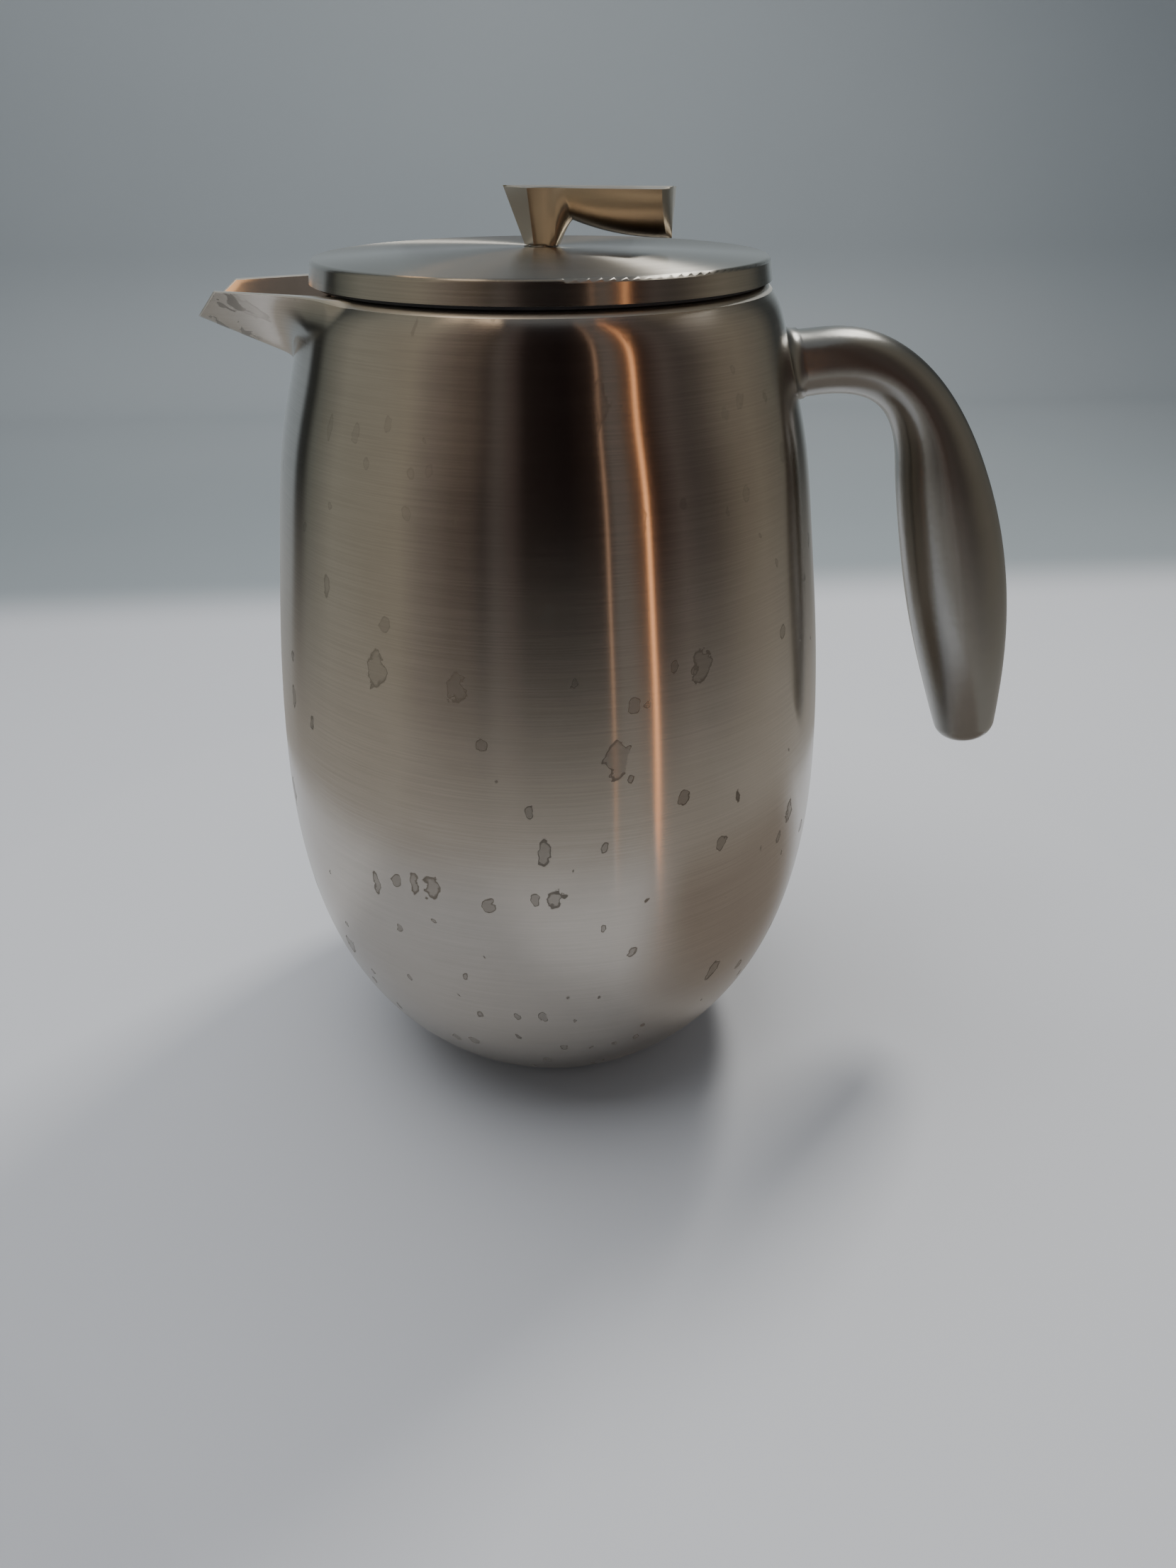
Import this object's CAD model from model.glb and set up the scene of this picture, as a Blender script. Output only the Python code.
from math import cos, pi, radians, sin, sqrt

import bpy
import numpy as np
from mathutils import Matrix, Vector


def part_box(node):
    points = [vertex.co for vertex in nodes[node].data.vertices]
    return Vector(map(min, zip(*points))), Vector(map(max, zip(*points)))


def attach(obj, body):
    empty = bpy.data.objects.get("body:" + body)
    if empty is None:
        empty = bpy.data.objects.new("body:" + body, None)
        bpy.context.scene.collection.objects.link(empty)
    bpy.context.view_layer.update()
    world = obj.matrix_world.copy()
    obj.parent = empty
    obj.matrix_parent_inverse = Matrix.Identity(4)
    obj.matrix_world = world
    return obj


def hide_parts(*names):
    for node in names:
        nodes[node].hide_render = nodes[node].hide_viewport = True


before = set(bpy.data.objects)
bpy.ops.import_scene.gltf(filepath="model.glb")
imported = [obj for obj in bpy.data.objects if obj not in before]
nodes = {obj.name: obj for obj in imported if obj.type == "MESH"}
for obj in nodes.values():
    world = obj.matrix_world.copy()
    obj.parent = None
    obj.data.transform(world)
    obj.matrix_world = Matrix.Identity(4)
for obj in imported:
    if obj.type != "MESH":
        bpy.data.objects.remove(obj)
bpy.context.view_layer.update()

MM = 0.001

# ---- Places read from the frame, in millimetres.
wall_low, wall_high = [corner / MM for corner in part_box("outer_shell")]
spout_low, spout_high = [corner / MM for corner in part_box("spout")]
rim_z = wall_high.z
foot_z = wall_low.z
liner_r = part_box("inner_liner")[1].x / MM

# ---- Camera: in front of the plane through the spout and the handle, a little left of the axis,
# looking down.
camera_place = Vector((-10.1, -240.4, 211.4)) * MM
camera_heading = 85.5
camera_pitch = -30.87
camera_roll = -0.28
camera_lens = 24.95


def add_camera():
    """The camera, from its place, heading, pitch and roll."""
    heading, pitch, roll = radians(camera_heading), radians(camera_pitch), radians(camera_roll)
    ahead = Vector((cos(heading) * cos(pitch), sin(heading) * cos(pitch), sin(pitch)))
    right = ahead.cross(Vector((0, 0, 1))).normalized()
    up = right.cross(ahead)
    rolled_right = right * cos(roll) + up * sin(roll)
    rolled_up = up * cos(roll) - right * sin(roll)
    lens = bpy.data.cameras.new("camera")
    lens.lens = camera_lens
    lens.sensor_width = 36
    lens.clip_start = 0.01
    camera = bpy.data.objects.new("camera", lens)
    bpy.context.scene.collection.objects.link(camera)
    camera.matrix_world = Matrix.Translation(camera_place) @ Matrix(
        (rolled_right, rolled_up, -ahead)
    ).transposed().to_4x4()
    bpy.context.scene.camera = camera


# ---------------------------------------------------------------- materials
class Graph:
    """A material's node tree, with short calls for the nodes used here."""

    def __init__(self, name):
        self.material = bpy.data.materials.new(name)
        self.material.use_nodes = True
        self.tree = self.material.node_tree
        self.shader = self.tree.nodes["Principled BSDF"]

    def feed(self, socket, value):
        """Joins a socket to another, or sets its value."""
        if isinstance(value, bpy.types.NodeSocket):
            self.tree.links.new(value, socket)
        else:
            socket.default_value = value

    def node(self, kind, inputs=(), **settings):
        """A new node: inputs go to its sockets and settings to the node itself."""
        made = self.tree.nodes.new(kind)
        for key, value in settings.items():
            setattr(made, key, value)
        for socket, value in dict(inputs).items():
            self.feed(made.inputs[socket], value)
        return made

    def set(self, **values):
        """Sets the shader's inputs by name, with _ for each space."""
        for key, value in values.items():
            self.feed(self.shader.inputs[key.replace("_", " ")], value)

    def math(self, operation, *values):
        return self.node("ShaderNodeMath", enumerate(values), operation=operation).outputs[0]

    def place(self):
        """The position in the row frame, in millimetres, as three sockets."""
        at = self.node("ShaderNodeTexCoord").outputs["Object"]
        parts = self.node("ShaderNodeSeparateXYZ", {0: at})
        return [self.math("MULTIPLY", parts.outputs[axis], 1 / MM) for axis in range(3)]

    def vector(self, x, y, z):
        return self.node("ShaderNodeCombineXYZ", {0: x, 1: y, 2: z}).outputs[0]

    def noise(self, vector, scale, detail, rough, bend=0.0):
        inputs = {"Vector": vector, "Scale": scale, "Detail": detail, "Roughness": rough}
        return self.node("ShaderNodeTexNoise", {**inputs, "Distortion": bend}).outputs["Fac"]

    def step(self, value, start, end, low=0.0, high=1.0):
        """A smooth step from low to high as value goes from start to end."""
        made = self.node(
            "ShaderNodeMapRange",
            {"Value": value, "From Min": start, "From Max": end, "To Min": low, "To Max": high},
            interpolation_type="SMOOTHSTEP",
        )
        return made.outputs["Result"]

    def tint(self, factor, first, second, blend="MIX"):
        """The first colour, with the second one mixed in by the factor."""
        sockets = {0: factor, 6: first, 7: second}      # a colour mix's own sockets
        made = self.node("ShaderNodeMix", data_type="RGBA", blend_type=blend)
        for socket, value in sockets.items():
            self.feed(made.inputs[socket], value)
        return made.outputs[2]

    def bump(self, height, distance):
        """A bump of the shader's normal, with its height in millimetres."""
        made = self.node("ShaderNodeBump", {"Height": height, "Distance": distance * MM})
        self.set(Normal=made.outputs[0])

    def turned_finish(self):
        """Stretches highlights across lines that run round the Z axis."""
        quarter_turn = 0.25
        tangent = self.node("ShaderNodeTangent", direction_type="RADIAL", axis="Z")
        self.set(Tangent=tangent.outputs[0], Anisotropic_Rotation=quarter_turn)

    def surface(self, shader):
        """Puts another shader in place of the first one."""
        self.feed(self.tree.nodes["Material Output"].inputs["Surface"], shader)
        return self.material


def colour(red, green, blue):
    return (red, green, blue, 1.0)


def grey(share):
    return colour(share, share, share)


def brush_round(graph, x, y, z, line, length, radius):
    """Fine lines round the axis, with a few broad ones among them.
    line is a line's width, length its length and radius the one it is measured at, in millimetres."""
    fine_share, broad_share = 0.82, 0.18
    broad_turn, broad_width, broad_seed = 0.6, 0.22, 5.0
    turn = graph.math("MULTIPLY", graph.math("ARCTAN2", y, x), radius / length)
    fine_place = graph.vector(turn, graph.math("MULTIPLY", z, 1 / line), 0.0)
    fine = graph.noise(fine_place, 1.0, 3.0, 0.6)
    broad_place = graph.vector(
        graph.math("MULTIPLY", turn, broad_turn), graph.math("MULTIPLY", z, broad_width / line), broad_seed
    )
    broad = graph.noise(broad_place, 1.0, 2.0, 0.5)
    fine = graph.math("MULTIPLY", fine, fine_share)
    return graph.math("ADD", fine, graph.math("MULTIPLY", broad, broad_share))


def line_contrast(graph, lines, dark, light):
    """The brushed lines as a change of brightness."""
    line_middle = (0.36, 0.64)
    return graph.tint(graph.step(lines, *line_middle), grey(dark), grey(light))


def water_marks(graph, x, y, z, cell, share, seed, drip=1.7, body=0.3):
    """Dried drops: 1 on a mark's outline, body inside it and 0 elsewhere.
    cell is their spacing in millimetres, share how many cells hold one, and drip how tall they are."""
    laid_r, largest, soft, edge = 58.0, 0.30, 0.02, 0.09
    around = graph.math("MULTIPLY", graph.math("ARCTAN2", y, x), laid_r)
    wobble = graph.noise(graph.vector(around, z, seed), 0.30, 3.0, 0.6)
    shift = graph.math("MULTIPLY", graph.math("SUBTRACT", wobble, 0.5), 0.6 * cell)
    spots = graph.node(
        "ShaderNodeTexVoronoi",
        {
            "Vector": graph.vector(
                graph.math("ADD", around, shift),
                graph.math("DIVIDE", graph.math("ADD", z, shift), drip),
                seed,
            ),
            "Scale": 1 / cell,
            "Randomness": 1.0,
        },
    )
    chance = graph.node("ShaderNodeSeparateColor", {0: spots.outputs["Color"]})
    size = graph.math("MULTIPLY", chance.outputs[0], largest)
    size = graph.math("MULTIPLY", size, graph.math("LESS_THAN", chance.outputs[1], share))
    depth = graph.math("SUBTRACT", size, spots.outputs["Distance"])
    inside = graph.step(depth, 0.0, soft)
    rim = graph.math("MULTIPLY", inside, graph.step(depth, soft, edge, 1.0, 0.0))
    return graph.math("MAXIMUM", graph.math("MULTIPLY", inside, body), rim)


def brushed_wall():
    """The pot's wall: fine lines round the axis, haze, dried water marks, and a worn, blotted spout."""
    graph = Graph("brushed_wall")
    x, y, z = graph.place()
    place = graph.vector(x, y, z)
    lines = brush_round(graph, x, y, z, 0.30, 26.0, 60.0)
    haze = graph.noise(place, 0.045, 4.0, 0.55, 0.6)
    along_spout, up_spout = graph.step(x, -60.0, -54.0, 0.9, 0.0), graph.step(z, 148.0, 160.0)
    on_spout = graph.math("MULTIPLY", along_spout, up_spout)
    big = water_marks(graph, x, y, z, 9.0, 0.34, 3.0, body=0.4)
    small = water_marks(graph, x, y, z, 4.6, 0.42, 11.0, 1.5, 0.5)
    drips = water_marks(graph, x, y, z, 5.0, 0.30, 23.0, 3.0, 0.45)
    fewer_higher = graph.step(z, 95.0, 165.0, 1.0, 0.30)
    marks = graph.math("MAXIMUM", graph.math("MAXIMUM", big, small), drips)
    marks = graph.math("MULTIPLY", marks, fewer_higher)
    blots = graph.step(graph.noise(place, 0.26, 2.0, 0.6, 0.4), 0.545, 0.56)
    marks = graph.math("MAXIMUM", marks, graph.math("MULTIPLY", blots, on_spout))
    clean = graph.tint(haze, colour(0.48, 0.44, 0.39), colour(0.56, 0.525, 0.475))
    lined = graph.tint(1.0, clean, line_contrast(graph, lines, 0.95, 1.045), "MULTIPLY")
    dull = graph.tint(graph.step(z, 10.0, 90.0, 0.45, 0.0), lined, colour(0.34, 0.305, 0.25))
    worn = graph.tint(graph.math("MULTIPLY", on_spout, 0.45), dull, colour(0.25, 0.245, 0.22))
    tinted = graph.tint(graph.math("MULTIPLY", marks, 0.75), worn, colour(0.13, 0.115, 0.095))
    rough = graph.math("ADD", 0.135, graph.math("MULTIPLY", lines, 0.07))
    rough = graph.math("ADD", rough, graph.math("MULTIPLY", marks, 0.16))
    graph.set(Base_Color=tinted, Metallic=1.0, Roughness=rough, Anisotropic=0.97)
    graph.turned_finish()
    graph.bump(graph.math("ADD", lines, graph.math("MULTIPLY", marks, 0.4)), 0.002)
    return graph.material


def polished_trough():
    """The spout's inside: polished, with a faint warm haze and long drawn lines."""
    graph = Graph("polished_trough")
    x, y, z = graph.place()
    haze = graph.noise(graph.vector(x, y, z), 0.12, 3.0, 0.5, 0.4)
    drawn = graph.noise(graph.vector(graph.math("MULTIPLY", x, 0.1), y, z), 2.5, 3.0, 0.6)
    graph.set(
        Base_Color=graph.tint(haze, colour(0.33, 0.26, 0.205), colour(0.42, 0.34, 0.275)),
        Metallic=1.0,
        Roughness=graph.math("ADD", 0.11, graph.math("MULTIPLY", drawn, 0.08)),
    )
    graph.bump(drawn, 0.002)
    return graph.material


def brushed_lid():
    """The lid's cap: lines turned in circles round the middle."""
    graph = Graph("brushed_lid")
    x, y, z = graph.place()
    squares = graph.math("ADD", graph.math("POWER", x, 2.0), graph.math("POWER", y, 2.0))
    out_and_up = graph.math("ADD", graph.math("SQRT", squares), z)
    lines = brush_round(graph, x, y, out_and_up, 0.32, 20.0, 30.0)
    haze = graph.noise(graph.vector(x, y, z), 0.025, 2.0, 0.5, 0.2)
    marks = water_marks(graph, x, y, z, 7.0, 0.12, 6.0, 1.0)
    fewer_on_top = graph.step(z, 189.5, 191.0, 1.0, 0.1)
    marks = graph.math("MULTIPLY", marks, fewer_on_top)
    clean = graph.tint(haze, colour(0.415, 0.393, 0.350), colour(0.47, 0.448, 0.402))
    lined = graph.tint(1.0, clean, line_contrast(graph, lines, 0.94, 1.05), "MULTIPLY")
    tinted = graph.tint(graph.math("MULTIPLY", marks, 0.5), lined, colour(0.22, 0.20, 0.18))
    rough = graph.math("ADD", 0.20, graph.math("MULTIPLY", lines, 0.09))
    graph.set(Base_Color=tinted, Metallic=1.0, Roughness=rough, Anisotropic=0.95)
    graph.turned_finish()
    graph.bump(lines, 0.003)
    return graph.material


def satin_steel(name, dark, light, rough, grain, bump=0.0008, patina=None):
    """Satin steel with fine grain: grain is the noise frequency along X, Y and Z, per millimetre.
    patina is the colour of faces that look down."""
    graph = Graph(name)
    x, y, z = graph.place()
    along = [graph.math("MULTIPLY", part, rate) for part, rate in zip((x, y, z), grain)]
    lines = graph.noise(graph.vector(*along), 9.0, 3.0, 0.6)
    haze = graph.noise(graph.vector(x, y, z), 0.10, 3.0, 0.5, 0.5)
    shade = graph.tint(haze, colour(*dark), colour(*light))
    if patina:
        normal = graph.node("ShaderNodeNewGeometry").outputs["Normal"]
        facing_up = graph.node("ShaderNodeSeparateXYZ", {0: normal}).outputs[2]
        shade = graph.tint(graph.step(facing_up, -0.85, -0.35, 1.0, 0.0), shade, colour(*patina))
    graph.set(
        Base_Color=shade,
        Metallic=1.0,
        Roughness=graph.math("ADD", rough - 0.03, graph.math("MULTIPLY", lines, 0.06)),
    )
    graph.bump(lines, bump)
    return graph.material


def woven_mesh():
    """Fine woven wire: two sets of waves across each other."""
    graph = Graph("woven_mesh")
    x, y, _ = graph.place()
    wire_pitch = 0.45
    wave_x = graph.math("SINE", graph.math("MULTIPLY", x, 2 * pi / wire_pitch))
    wave_y = graph.math("SINE", graph.math("MULTIPLY", y, 2 * pi / wire_pitch))
    weave = graph.math("MULTIPLY", wave_x, wave_y)
    shade = graph.step(weave, -0.4, 0.6)
    graph.set(
        Base_Color=graph.tint(shade, colour(0.10, 0.10, 0.10), colour(0.62, 0.62, 0.60)),
        Metallic=1.0,
        Roughness=0.38,
    )
    graph.bump(weave, 0.08)
    return graph.material


def moulded(name, dark, light, rough, bump):
    """Moulded plastic or silicone with a fine even texture."""
    graph = Graph(name)
    x, y, z = graph.place()
    pores = graph.noise(graph.vector(x, y, z), 3.2, 3.0, 0.6)
    haze = graph.noise(graph.vector(x, y, z), 0.15, 3.0, 0.5)
    graph.set(
        Base_Color=graph.tint(haze, colour(*dark), colour(*light)),
        Roughness=graph.math("ADD", rough - 0.05, graph.math("MULTIPLY", pores, 0.12)),
    )
    graph.bump(pores, bump)
    return graph.material


# Finishes keep their roughness on one side of about 0.274: the denoiser changes its guide there, and
# a fine texture that crosses it comes out speckled.
wall_steel = brushed_wall()
lid_steel = brushed_lid()
trough_steel = polished_trough()
handle_steel = satin_steel(
    "handle_steel", (0.295, 0.292, 0.277), (0.355, 0.352, 0.334), 0.24, (0.3, 0.3, 0.05), 0.0004
)
edge_steel = satin_steel("edge_steel", (0.74, 0.72, 0.67), (0.82, 0.80, 0.75), 0.34, (0.5, 0.5, 0.08))
knob_steel = satin_steel(
    "knob_steel", (0.68, 0.585, 0.465), (0.76, 0.665, 0.535), 0.245, (0.04, 0.04, 0.5), 0.00006,
    patina=(0.12, 0.10, 0.08),
)
inner_steel = satin_steel("inner_steel", (0.58, 0.57, 0.55), (0.68, 0.67, 0.65), 0.31, (0.1, 0.1, 0.9))
plate_steel = satin_steel("plate_steel", (0.56, 0.56, 0.54), (0.66, 0.66, 0.64), 0.31, (0.4, 0.05, 0.4))
rod_steel = satin_steel("rod_steel", (0.64, 0.64, 0.63), (0.72, 0.72, 0.71), 0.14, (0.3, 0.3, 0.6), 0.0004)
mesh_steel = woven_mesh()
plug_plastic = moulded("plug_plastic", (0.018, 0.018, 0.019), (0.030, 0.030, 0.032), 0.45, 0.02)
sleeve_plastic = moulded("sleeve_plastic", (0.045, 0.045, 0.047), (0.06, 0.06, 0.062), 0.38, 0.01)
silicone = moulded("silicone", (0.03, 0.03, 0.032), (0.045, 0.045, 0.047), 0.62, 0.012)

finishes = {
    "outer_shell": wall_steel, "spout": wall_steel, "handle": handle_steel, "handle_boss": handle_steel,
    "inner_liner": inner_steel, "base_plate": inner_steel, "base_pad": silicone,
    "lid_cap": lid_steel, "lid_insert": plug_plastic, "lid_gasket": silicone,
    "lid_bush": sleeve_plastic, "bush_washer": plate_steel, "rod_seal": silicone,
    "knob": knob_steel, "plunger_rod": rod_steel, "rod_collar": rod_steel,
    "spiral_plate": plate_steel, "filter_spring": rod_steel, "mesh_filter": mesh_steel,
    "cross_plate": plate_steel, "filter_nut": rod_steel,
}
for node, finish in finishes.items():
    nodes[node].data.materials.clear()
    nodes[node].data.materials.append(finish)


# ---------------------------------------------------------------- meshes
def grid_piece(name, columns, finish, body, sharp=32.0, wrap=True, strips=()):
    """A piece from closed rings: columns is [column][row] of points in millimetres.
    strips holds (first row, row after the last, finish) for rows that have a finish of their own."""
    points = np.array(columns, float) * MM
    count, rows = points.shape[:2]
    faces = []
    for column in range(count):
        after = (column + 1) % count
        for row in range(rows if wrap else rows - 1):
            above = (row + 1) % rows
            faces.append(
                (column * rows + row, after * rows + row, after * rows + above, column * rows + above)
            )
    mesh = bpy.data.meshes.new(name)
    mesh.from_pydata(points.reshape(-1, 3).tolist(), [], faces)
    corners = points.reshape(-1, 3)[np.array(faces)]
    turned = np.cross(corners[:, 1] - corners[:, 0], corners[:, 2] - corners[:, 0])
    if (corners[:, 0] * turned).sum() < 0:
        mesh.flip_normals()
    mesh.materials.append(finish)
    row_finish = np.zeros(rows if wrap else rows - 1, np.int32)
    for number, (first, after, strip_finish) in enumerate(strips, 1):
        mesh.materials.append(strip_finish)
        row_finish[first:after] = number
    mesh.polygons.foreach_set("material_index", np.tile(row_finish, count))
    mesh.shade_smooth()
    mesh.set_sharp_from_angle(angle=radians(sharp))
    piece = bpy.data.objects.new(name, mesh)
    bpy.context.scene.collection.objects.link(piece)
    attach(piece, body)
    return piece


def ease(value, start, end):
    """A smooth step from 0 to 1 as value goes from start to end."""
    share = np.clip((value - start) / (end - start), 0, 1)
    return share * share * (3 - 2 * share)


# ---- Pot wall and spout in one: every column is one angle round the axis, from the spout's side.
foot_r = 33.4                   # where the side meets the foot's small bevel
foot_rise = 0.4
base_r = 27.0
wall = 0.8
rim_bevel = 1.4                 # how far the rim's rounding reaches on each face
lip_bevel = 0.4                 # the same on the spout's thin edges
neck_z = 158.0                  # below it the wall is a thin sheet, above it the spout's root is solid
keel_slope = 0.433              # how the keel rises on its way out
keel_spread = 0.53              # half width that a level section of the spout gains per length
keel_round = 0.02
end_run = 5.8 / 5.3             # how the slanted end runs back as it rises
sheet_shift = 3.4               # how far the hollow's keel lies behind the outer keel
blend_sharp, blend_soft = 3.0, 10.0   # reach of the hollow curve into the wall, at keel and rim
blend_turn = 24.0
spout_turn = (32.0, 60.0)       # degrees from the spout's middle where its sides fade into the wall
spout_fade = 30.0               # how far the sides sink inside the wall there
bevel_turn = (27.0, 42.0)       # degrees over which the spout's thin edge grows into the rim
hollow_blend = 1.2
wide_turn = radians(45)         # columns are closer together up to here
tip_columns, side_columns, back_columns = 31, 91, 151
wall_rows, root_rows, hollow_steps, bevel_steps, sheet_rows = 161, 60, 40, 4, 41
spout_tip_x = -spout_low.x
spout_tip_z = float(
    min(nodes["spout"].data.vertices, key=lambda vertex: vertex.co.x).co.z / MM
)


def wall_curve():
    """The wall's outer radius as a function of height, fitted to the CAD wall away from the spout."""
    fit_degree, margins = 14, (0.4, 0.2, 0.1, 0.1)
    places = np.array([vertex.co for vertex in nodes["outer_shell"].data.vertices]) / MM
    radius = np.hypot(places[:, 0], places[:, 1])
    height = places[:, 2]
    low, high = foot_z + foot_rise, rim_z - rim_bevel
    side = (places[:, 0] > 0) & (height > low + 0.01) & (height < high - 0.01) & (radius > foot_r)
    radius, height = radius[side], height[side]
    series = np.polynomial.chebyshev.Chebyshev
    outer = np.ones(len(radius), bool)
    for margin in margins:
        fit = series.fit(height[outer], radius[outer], fit_degree, domain=(low, high))
        outer = radius > fit(height) - margin
    end_slope = fit.deriv()(high)

    def curve(z):
        return np.where(z < high, fit(np.minimum(z, high)), fit(high) + end_slope * (z - high))

    return curve


def spout_angle(turn):
    """The angle from the spout's middle, up to where its sides end, and the step to the side there."""
    turn = min(abs(turn), radians(spout_turn[1]))
    return turn, sqrt(sin(turn) ** 2 + keel_round**2) - keel_round


def side_reach(turn, z, shift=0.0):
    """How far from the axis the spout's side lies at that angle and height."""
    apex = spout_tip_x - shift + (z - spout_tip_z) / keel_slope
    turn, across = spout_angle(turn)
    reach = keel_spread * apex / (across + keel_spread * cos(turn))
    return reach - spout_fade * ease(turn, *np.radians(spout_turn))


def end_height(turn, shift=0.0):
    """The height at which the spout's side meets its slanted end, at that angle."""
    turn, across = spout_angle(turn)
    share = keel_spread * cos(turn) / (across + keel_spread * cos(turn))
    rise = (spout_tip_x * (1 - share) + shift * share) / (share / keel_slope + end_run)
    return spout_tip_z + rise


def round_max(first, second, reach):
    """The larger of two lengths, with a rounded change from one to the other."""
    gap = np.maximum(reach - np.abs(first - second), 0)
    return np.maximum(first, second) + gap * gap / (4 * reach)


def corner_turn(shift):
    """The angle at which the slanted end reaches the height of the rim."""
    low, high, halvings = 0.0, radians(30), 40
    for _ in range(halvings):
        middle = (low + high) / 2
        low, high = (middle, high) if end_height(middle, shift) < rim_z else (low, middle)
    return low


def wall_column(turn, hollow_turn, curve):
    """One closed column of the wall: up its outside, over the rim and down its inside."""
    soft = blend_sharp + (blend_soft - blend_sharp) * ease(abs(turn), 0, radians(blend_turn))
    bevel = lip_bevel + (rim_bevel - lip_bevel) * ease(abs(turn), *np.radians(bevel_turn))
    probe = 0.1

    def outside(z):
        radius = round_max(curve(z), side_reach(turn, z), soft)
        return np.array([-radius * cos(turn), radius * sin(turn), z])

    def inside(z):
        radius = round_max(liner_r, side_reach(hollow_turn, z, sheet_shift), hollow_blend)
        return np.array([-radius * cos(hollow_turn), radius * sin(hollow_turn), z])

    top = min(end_height(turn), rim_z)
    hollow_top = min(end_height(hollow_turn, sheet_shift), rim_z)
    outer_edge, inner_edge = outside(top), inside(hollow_top)
    across = (inner_edge - outer_edge) / np.linalg.norm(inner_edge - outer_edge)
    down, hollow_down = outside(top - probe) - outer_edge, inside(hollow_top - probe) - inner_edge
    outer_drop = bevel * probe / np.linalg.norm(down)
    inner_drop = lip_bevel * probe / np.linalg.norm(hollow_down)
    column = [np.array([-r * cos(turn), r * sin(turn), z]) for r, z in foot_line]
    column += [outside(z) for z in np.linspace(foot_z + foot_rise, neck_z, wall_rows)]
    column += [outside(z) for z in np.linspace(neck_z, top - outer_drop, root_rows + 1)[1:]]
    column += rounded(column[-1], outer_edge, outer_edge + across * bevel)
    column += rounded(inner_edge - across * lip_bevel, inner_edge, inside(hollow_top - inner_drop))
    column += [inside(z) for z in np.linspace(hollow_top - inner_drop, neck_z, hollow_steps + 1)[1:]]
    for z in np.linspace(neck_z - 1, foot_z + wall, sheet_rows):
        radius = curve(z) - wall
        column.append(np.array([-radius * cos(turn), radius * sin(turn), z]))
    return column


def rounded(start, corner, end):
    """Points from start to end on a curve that heads for the corner and turns."""
    return [
        start * (1 - t) ** 2 + 2 * corner * t * (1 - t) + end * t * t
        for t in np.linspace(0, 1, bevel_steps + 1)
    ]


foot_line = [(base_r, foot_z + wall), (base_r, foot_z), (foot_r - 2 * foot_rise, foot_z)]


def add_wall():
    """The pot's wall with the spout drawn out of it."""
    curve = wall_curve()
    outer_corner, inner_corner = corner_turn(0.0), corner_turn(sheet_shift)
    half = np.concatenate([
        np.linspace(0, outer_corner, tip_columns),
        np.linspace(outer_corner, wide_turn, side_columns)[1:],
        np.linspace(wide_turn, pi, back_columns)[1:],
    ])
    hollow = np.interp(half, [0, outer_corner, wide_turn, pi], [0, inner_corner, wide_turn, pi])
    turns = np.concatenate([half, -half[-2:0:-1]])
    hollow_turns = np.concatenate([hollow, -hollow[-2:0:-1]])
    columns = [wall_column(turn, inner, curve) for turn, inner in zip(turns, hollow_turns)]
    edge_start = len(foot_line) + wall_rows + root_rows - 1
    hollow_start = edge_start + 2 * (bevel_steps + 1)
    piece = grid_piece(
        "pot_wall", columns, wall_steel, "pot",
        strips=[
            (edge_start, hollow_start, edge_steel),
            (hollow_start, hollow_start + hollow_steps, trough_steel),
        ],
    )
    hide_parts("outer_shell", "spout")


add_wall()


# ---- Knob: a wedge-shaped nose over a narrow foot, a waist, and a wing with a rounded keel.
# A station is a slanting line up the knob's side: 0 nose, 1 crease, 2 waist, 3 back of the stem,
# 4 top of the arch, 5 the wing's end.
knob_low, knob_high = [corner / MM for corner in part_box("knob")]
knob_turn = radians(-20)
knob_height = knob_high.z - knob_low.z
station_foot = (-3.4, -0.6, 1.8, 3.5, 6.4, 25.6)
station_top = (-7.6, -1.0, 2.6, 4.6, 7.0, 25.6)
crease_half = (2.9, 5.3)        # half width at the foot and at the top
waist_half = (2.2, 4.4)
end_half = 6.6
arch_rise, keel_rise = 4.5, 1.6         # underside over the foot's level, at the arch and at the end
arch_bend, keel_bend = 1.5, 2.2         # how sharply the underside curves before and after the arch
wing_bend = 1.2                         # how the wing widens on its way out
keel_swell = (1.6, 0.75)                # how the wing's side swells over its keel
lens_stations = (2.0, 4.3)              # where the flat side turns into the swelling one
knob_crown = 0.9 / 9.0**2
knob_bevel = 0.3
knob_end_bow = 0.8
end_squeezes = (0.97, 0.75, 0.5, 0.25, 0.0)
side_steps = np.linspace(0, 1, 17) ** 1.4


def knob_underside(station):
    """Height of the underside over the foot at that station."""
    if station <= 3:
        return 0.0
    if station <= 4:
        return arch_rise * (1 - (4 - station) ** arch_bend)
    return keel_rise + (arch_rise - keel_rise) * (5 - station) ** keel_bend


def station_x(station, share):
    """The place along the knob at that station, at a share of its height."""
    foot = np.interp(station, range(6), station_foot)
    head = np.interp(station, range(6), station_top)
    return foot + (head - foot) * share


def knob_half(station, share, above):
    """Half width at that station: share is the height over the foot, above the height over the keel."""
    crease = crease_half[0] + (crease_half[1] - crease_half[0]) * share
    waist = waist_half[0] + (waist_half[1] - waist_half[0]) * share
    if station <= 1:
        return crease * station
    if station <= 2:
        return waist + (crease - waist) * (2 - station) ** 2
    run = np.interp(station, range(6), station_top) - station_top[2]
    grown = sin(pi / 2 * run / (station_top[5] - station_top[2])) ** wing_bend
    wing = waist_half[1] + (end_half - waist_half[1]) * grown
    keel = (1 - (1 - above) ** keel_swell[0]) ** keel_swell[1]
    lens = ease(station, *lens_stations)
    return (1 - lens) * waist + lens * wing * keel


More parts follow.
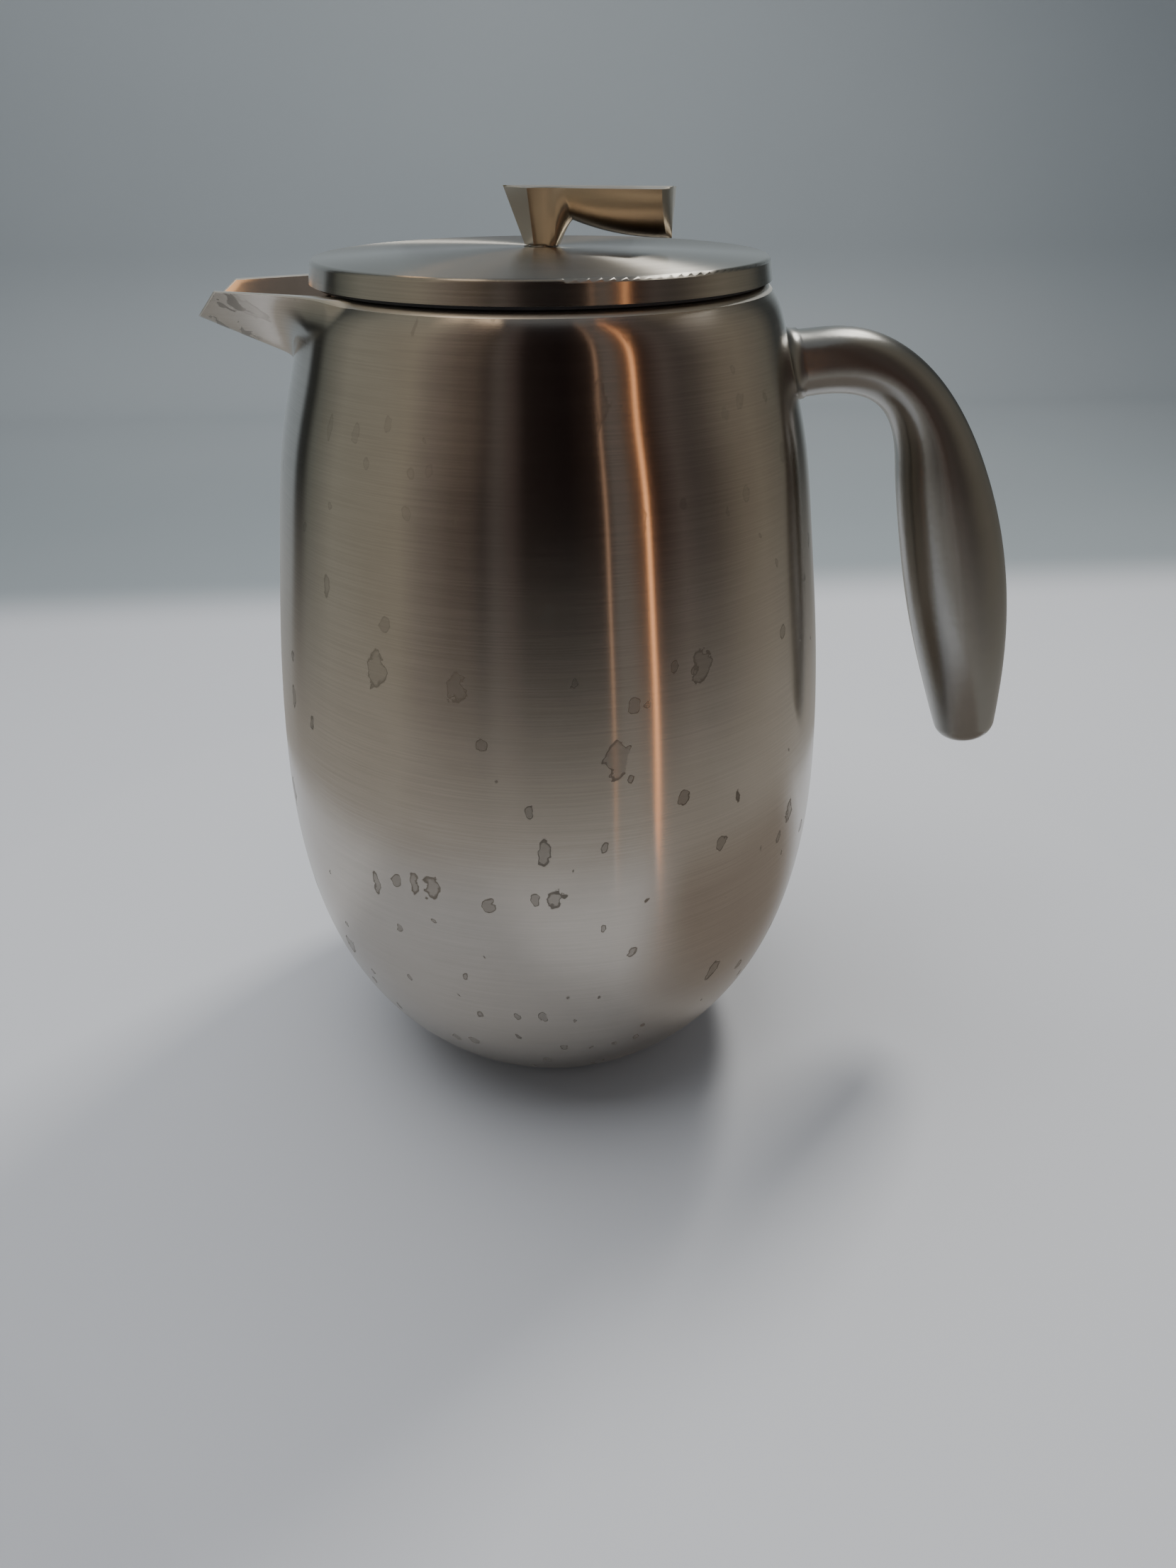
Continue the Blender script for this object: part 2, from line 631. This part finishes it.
def knob_ring(station, squeeze=1.0, push=0.0):
    """One closed ring of the knob: up one side, over the top and down the other."""
    low = knob_underside(station)
    side = []
    for step in side_steps:
        rise = low + (knob_height - knob_bevel - low) * step
        share = rise / knob_height
        side.append((share, knob_half(station, share, (rise - low) / (knob_height - low)), rise))
    edge = max(side[-1][1] - knob_bevel, 0.0)
    across_top = [edge * part for part in (1, 0.5, 0, -0.5, -1)]
    top = [(1.0, half, knob_height - knob_crown * half**2) for half in across_top]
    other_side = [(share, -half, rise) for share, half, rise in reversed(side)]
    ring = []
    for share, half, rise in side + top + other_side:
        along = station_x(station, share) + push
        across = half * squeeze
        ring.append((
            along * cos(knob_turn) - across * sin(knob_turn),
            along * sin(knob_turn) + across * cos(knob_turn),
            knob_low.z + rise,
        ))
    return ring


def add_knob():
    """The cast knob."""
    stations = np.concatenate([
        np.linspace(0, 2, 25), np.linspace(2, 4, 33)[1:], np.linspace(4, 5, 33)[1:]
    ])
    rings = [knob_ring(station) for station in stations]
    for squeeze in end_squeezes:
        rings.append(knob_ring(5.0, squeeze, knob_end_bow * (1 - squeeze**2)))
    columns = np.array(rings).transpose(1, 0, 2)
    piece = grid_piece("cast_knob", columns, knob_steel, "plunger", 28.0, False)
    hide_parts("knob")


add_knob()


# ---- Filter spring: fine wire wound into a coil, and the coil bent into a ring.
spring_low, spring_high = [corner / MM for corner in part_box("filter_spring")]
wire_r, wire_sides = 0.3, 6
spring_coils, coil_steps = 150, 14


def add_spring():
    """The coil spring round the filter's edge."""
    coil_r = (spring_high.z - spring_low.z) / 2 - wire_r
    ring_r = spring_high.x - coil_r - wire_r
    middle_z = (spring_high.z + spring_low.z) / 2
    turns = np.linspace(0, 2 * pi, spring_coils * coil_steps, endpoint=False)
    wound = turns * spring_coils
    outward = np.stack([np.cos(turns), np.sin(turns), 0 * turns], 1)
    forward = np.stack([-np.sin(turns), np.cos(turns), 0 * turns], 1)
    upward = np.array([0.0, 0.0, 1.0])
    spoke = outward * np.cos(wound)[:, None] + upward * np.sin(wound)[:, None]
    swing = upward * np.cos(wound)[:, None] - outward * np.sin(wound)[:, None]
    centre = outward * ring_r + spoke * coil_r + upward * middle_z
    run = forward * ring_r + swing * coil_r * spring_coils
    run /= np.linalg.norm(run, axis=1)[:, None]
    beside = np.cross(run, spoke)
    columns = np.stack([
        centre + wire_r * (spoke * cos(angle) + beside * sin(angle))
        for angle in np.linspace(0, 2 * pi, wire_sides, endpoint=False)
    ], 1)
    piece = grid_piece("coil_spring", columns, rod_steel, "plunger", 60.0)
    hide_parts("filter_spring")


add_spring()


# ---------------------------------------------------------------- floor, backdrop and light
def stage_piece(name, points, faces, finish):
    """A mesh that is part of the stage and not of the press."""
    mesh = bpy.data.meshes.new(name)
    mesh.from_pydata([Vector(point) for point in points], [], faces)
    mesh.materials.append(finish)
    mesh.shade_smooth()
    piece = bpy.data.objects.new(name, mesh)
    bpy.context.scene.collection.objects.link(piece)
    return piece


def paper():
    """Pale paper that turns darker and bluer behind the pot, and a little paler again on the backdrop."""
    pale_end, upright_start = (280.0, 350.0), (430.0, 800.0)
    graph = Graph("paper")
    x, y, z = graph.place()
    haze = graph.noise(graph.vector(x, y, z), 0.004, 2.0, 0.5)
    pale = graph.tint(haze, colour(0.50, 0.51, 0.54), colour(0.53, 0.54, 0.57))
    deep = graph.tint(haze, colour(0.232, 0.262, 0.28), colour(0.262, 0.292, 0.31))
    upright = graph.tint(haze, colour(0.325, 0.355, 0.375), colour(0.36, 0.39, 0.41))
    behind = graph.tint(graph.step(y, *upright_start), deep, upright)
    graph.set(Base_Color=graph.tint(graph.step(y, *pale_end), pale, behind), Roughness=0.6)
    return graph.material


def add_sweep():
    """A pale floor that bends up into a plain backdrop behind the pot."""
    half, front, bend_start, bend_r, top, bend_steps = 1.6, -1.6, 0.76, 0.12, 1.6, 12
    line = [(front, 0.0), (-0.4, 0.0), (0.0, 0.0), (bend_start, 0.0)]
    line += [
        (bend_start + bend_r * sin(turn), bend_r - bend_r * cos(turn))
        for turn in np.linspace(0, pi / 2, bend_steps + 1)[1:]
    ]
    line.append((bend_start + bend_r, top))
    points = [(side * half, y, z) for y, z in line for side in (-1, 1)]
    faces = [(2 * i, 2 * i + 1, 2 * i + 3, 2 * i + 2) for i in range(len(line) - 1)]
    stage_piece("floor", points, faces, paper())


light_aim = (0, 0, 0.08)


def add_light(name, place, size, power, shade):
    """A soft rectangular light that points at the pot."""
    lamp = bpy.data.lights.new(name, "AREA")
    lamp.shape = "RECTANGLE"
    lamp.size, lamp.size_y = size
    lamp.energy = power
    lamp.color = shade
    piece = bpy.data.objects.new(name, lamp)
    bpy.context.scene.collection.objects.link(piece)
    piece.location = place
    piece.rotation_mode = "QUATERNION"
    piece.rotation_quaternion = (Vector(light_aim) - Vector(place)).to_track_quat("-Z", "Y")
    return piece


def add_world():
    """Dim grey light from all round."""
    world = bpy.data.worlds.new("studio")
    bpy.context.scene.world = world
    world.use_nodes = True
    background = world.node_tree.nodes["Background"]
    background.inputs[0].default_value = colour(0.50, 0.53, 0.56)
    background.inputs[1].default_value = 0.45


# What the steel mirrors, and nothing else sees: a round screen of grey and brown flags, with a slot
# and a warm lamp behind it for each of the two warm lines. Bands and slots go by angle from the
# front, in degrees, and positive angles are on the handle's side.
screen_r = 0.20
screen_top = 0.55
screen_turn = 168
band_step = 3                   # degrees of screen to a face
lamp_slots = [(17.4, 18.1, (0.9, 0.56, 0.37)), (31.7, 33.0, (3.1, 1.45, 0.68))]
lamp_r = 0.23
lamp_spread = 0.8               # degrees that a lamp reaches past its slot on each side
screen_bands = [
    (-168, (0.34, 0.38, 0.40)), (-120, (0.29, 0.33, 0.36)), (-116, (0.035, 0.038, 0.038)),
    (-110, (0.035, 0.038, 0.036)), (-105, (0.15, 0.16, 0.145)), (-88, (0.305, 0.30, 0.26)),
    (-56, (0.31, 0.285, 0.235)), (-47, (0.20, 0.175, 0.155)), (-36, (0.105, 0.086, 0.075)),
    (-30, (0.082, 0.065, 0.057)), (-25, (0.040, 0.032, 0.031)), (-20, (0.085, 0.074, 0.071)),
    (-15, (0.064, 0.049, 0.046)), (-10, (0.018, 0.012, 0.011)), (5, (0.010, 0.006, 0.006)),
    (14, (0.020, 0.013, 0.011)), (18, (0.045, 0.028, 0.022)), (21, (0.14, 0.125, 0.115)),
    (25, (0.135, 0.12, 0.11)), (29, (0.12, 0.07, 0.048)), (34, (0.12, 0.062, 0.040)),
    (37, (0.045, 0.027, 0.021)), (46, (0.105, 0.085, 0.078)), (53, (0.08, 0.068, 0.063)),
    (60, (0.095, 0.08, 0.07)), (74, (0.19, 0.165, 0.133)), (85, (0.225, 0.20, 0.162)),
    (105, (0.16, 0.152, 0.13)), (119, (0.055, 0.06, 0.06)), (127, (0.055, 0.06, 0.06)),
    (142, (0.30, 0.34, 0.36)), (168, (0.34, 0.38, 0.40)),
]
screen_foot = (0.415, 0.395, 0.365)     # near the table the bands fade into this
screen_foot_z = (0.0, 150.0)
screen_foot_share = 0.96


def glow(graph, shade):
    """Turns a graph's surface into plain emission."""
    return graph.surface(graph.node("ShaderNodeEmission", {"Color": shade}).outputs[0])


def screen_light():
    """The screen's glow: bands by angle, paler near the table."""
    graph = Graph("screen_light")
    x, y, z = graph.place()
    turn = graph.math("ARCTAN2", x, graph.math("MULTIPLY", y, -1.0))
    share = graph.math("ADD", graph.math("DIVIDE", turn, 2 * radians(screen_turn)), 0.5)
    bands = graph.node("ShaderNodeValToRGB", {0: share})
    ramp = bands.color_ramp
    while len(ramp.elements) < len(screen_bands):
        ramp.elements.new(0.5)
    for element, (angle, shade) in zip(ramp.elements, screen_bands):
        element.position = angle / (2 * screen_turn) + 0.5
        element.color = colour(*shade)
    near_table = graph.step(z, *screen_foot_z, screen_foot_share, 0.0)
    return glow(graph, graph.tint(near_table, bands.outputs[0], colour(*screen_foot)))


def only_mirrored(piece):
    """Only reflections see this piece."""
    piece.visible_camera = False
    piece.visible_diffuse = False
    piece.visible_shadow = False
    piece.visible_transmission = False


def upright_band(name, radius, start, end, finish):
    """Part of an upright cylinder round the pot, from one angle to another."""
    count = max(2, int((end - start) / band_step))
    turns = np.radians(np.linspace(start, end, count + 1))
    heights = (0.0, screen_top)
    points = [(radius * sin(turn), -radius * cos(turn), z) for turn in turns for z in heights]
    faces = [(2 * i, 2 * i + 2, 2 * i + 3, 2 * i + 1) for i in range(count)]
    only_mirrored(stage_piece(name, points, faces, finish))


def add_screen():
    """The flags, with a slot and a lamp behind it for each warm line."""
    light = screen_light()
    starts = [-screen_turn] + [slot[1] for slot in lamp_slots]
    ends = [slot[0] for slot in lamp_slots] + [screen_turn]
    for number, (start, end) in enumerate(zip(starts, ends)):
        upright_band(f"flag_{number}", screen_r, start, end, light)
    for number, (start, end, shade) in enumerate(lamp_slots):
        name = f"lamp_{number}"
        middle = (start + end) / 2
        half = (end - start) / 2 + lamp_spread
        upright_band(name, lamp_r, middle - half, middle + half, glow(Graph(name), colour(*shade)))


def add_plate(name, low, high, finish):
    """A rectangle with its lower edge along X, flat or upright."""
    points = [low, (high[0], low[1], low[2]), high, (low[0], high[1], high[2])]
    only_mirrored(stage_piece(name, points, [(0, 1, 2, 3)], finish))


def add_glow(name, low, high, shade):
    """A rectangle that glows in the given colour."""
    add_plate(name, low, high, glow(Graph(name), colour(*shade)))


def add_card():
    """A soft-edged dark card on the table at the right, for the undersides that mirror it."""
    middle, reach, height = (0.15, -0.06), (0.13, 0.12), 0.001
    graph = Graph("card")
    squares = []
    for place, centre, half in zip(graph.place(), middle, reach):
        offset = graph.math("DIVIDE", graph.math("SUBTRACT", place, centre / MM), half / MM)
        squares.append(graph.math("POWER", offset, 2.0))
    outwards = graph.step(graph.math("ADD", *squares), 0.25, 1.0)
    light = graph.node("ShaderNodeEmission", {"Color": colour(0.28, 0.245, 0.215)})
    clear = graph.node("ShaderNodeBsdfTransparent")
    mixed = graph.node("ShaderNodeMixShader", {0: outwards, 1: light.outputs[0], 2: clear.outputs[0]})
    low, high = [
        (middle[0] + side * reach[0], middle[1] + side * reach[1], height) for side in (-1, 1)
    ]
    add_plate("card", low, high, graph.surface(mixed.outputs[0]))


add_camera()
add_sweep()
add_screen()
add_card()
# A warm panel and a small plate over the lid's front edge, which the knob's sides mirror by way of
# the lid, and a small lamp over the spout.
add_glow("panel", (-0.45, -0.38, 0.62), (-0.12, 0.05, 0.62), (2.5, 2.0, 1.5))
add_glow("knob_plate", (-0.036, -0.047, 0.200), (0.006, -0.047, 0.228), (0.62, 0.53, 0.42))
add_glow("spout_lamp", (-0.060, 0.000, 0.26), (-0.044, 0.028, 0.26), (2.6, 1.75, 1.05))
add_world()
overhead = add_light("overhead", (-0.22, 0.02, 0.92), (0.85, 0.85), 8.2, (0.98, 0.99, 1.0))
overhead.visible_glossy = False
add_light("key", (0.33, 0.34, 0.72), (0.14, 0.14), 4.3, (1.0, 0.98, 0.93))
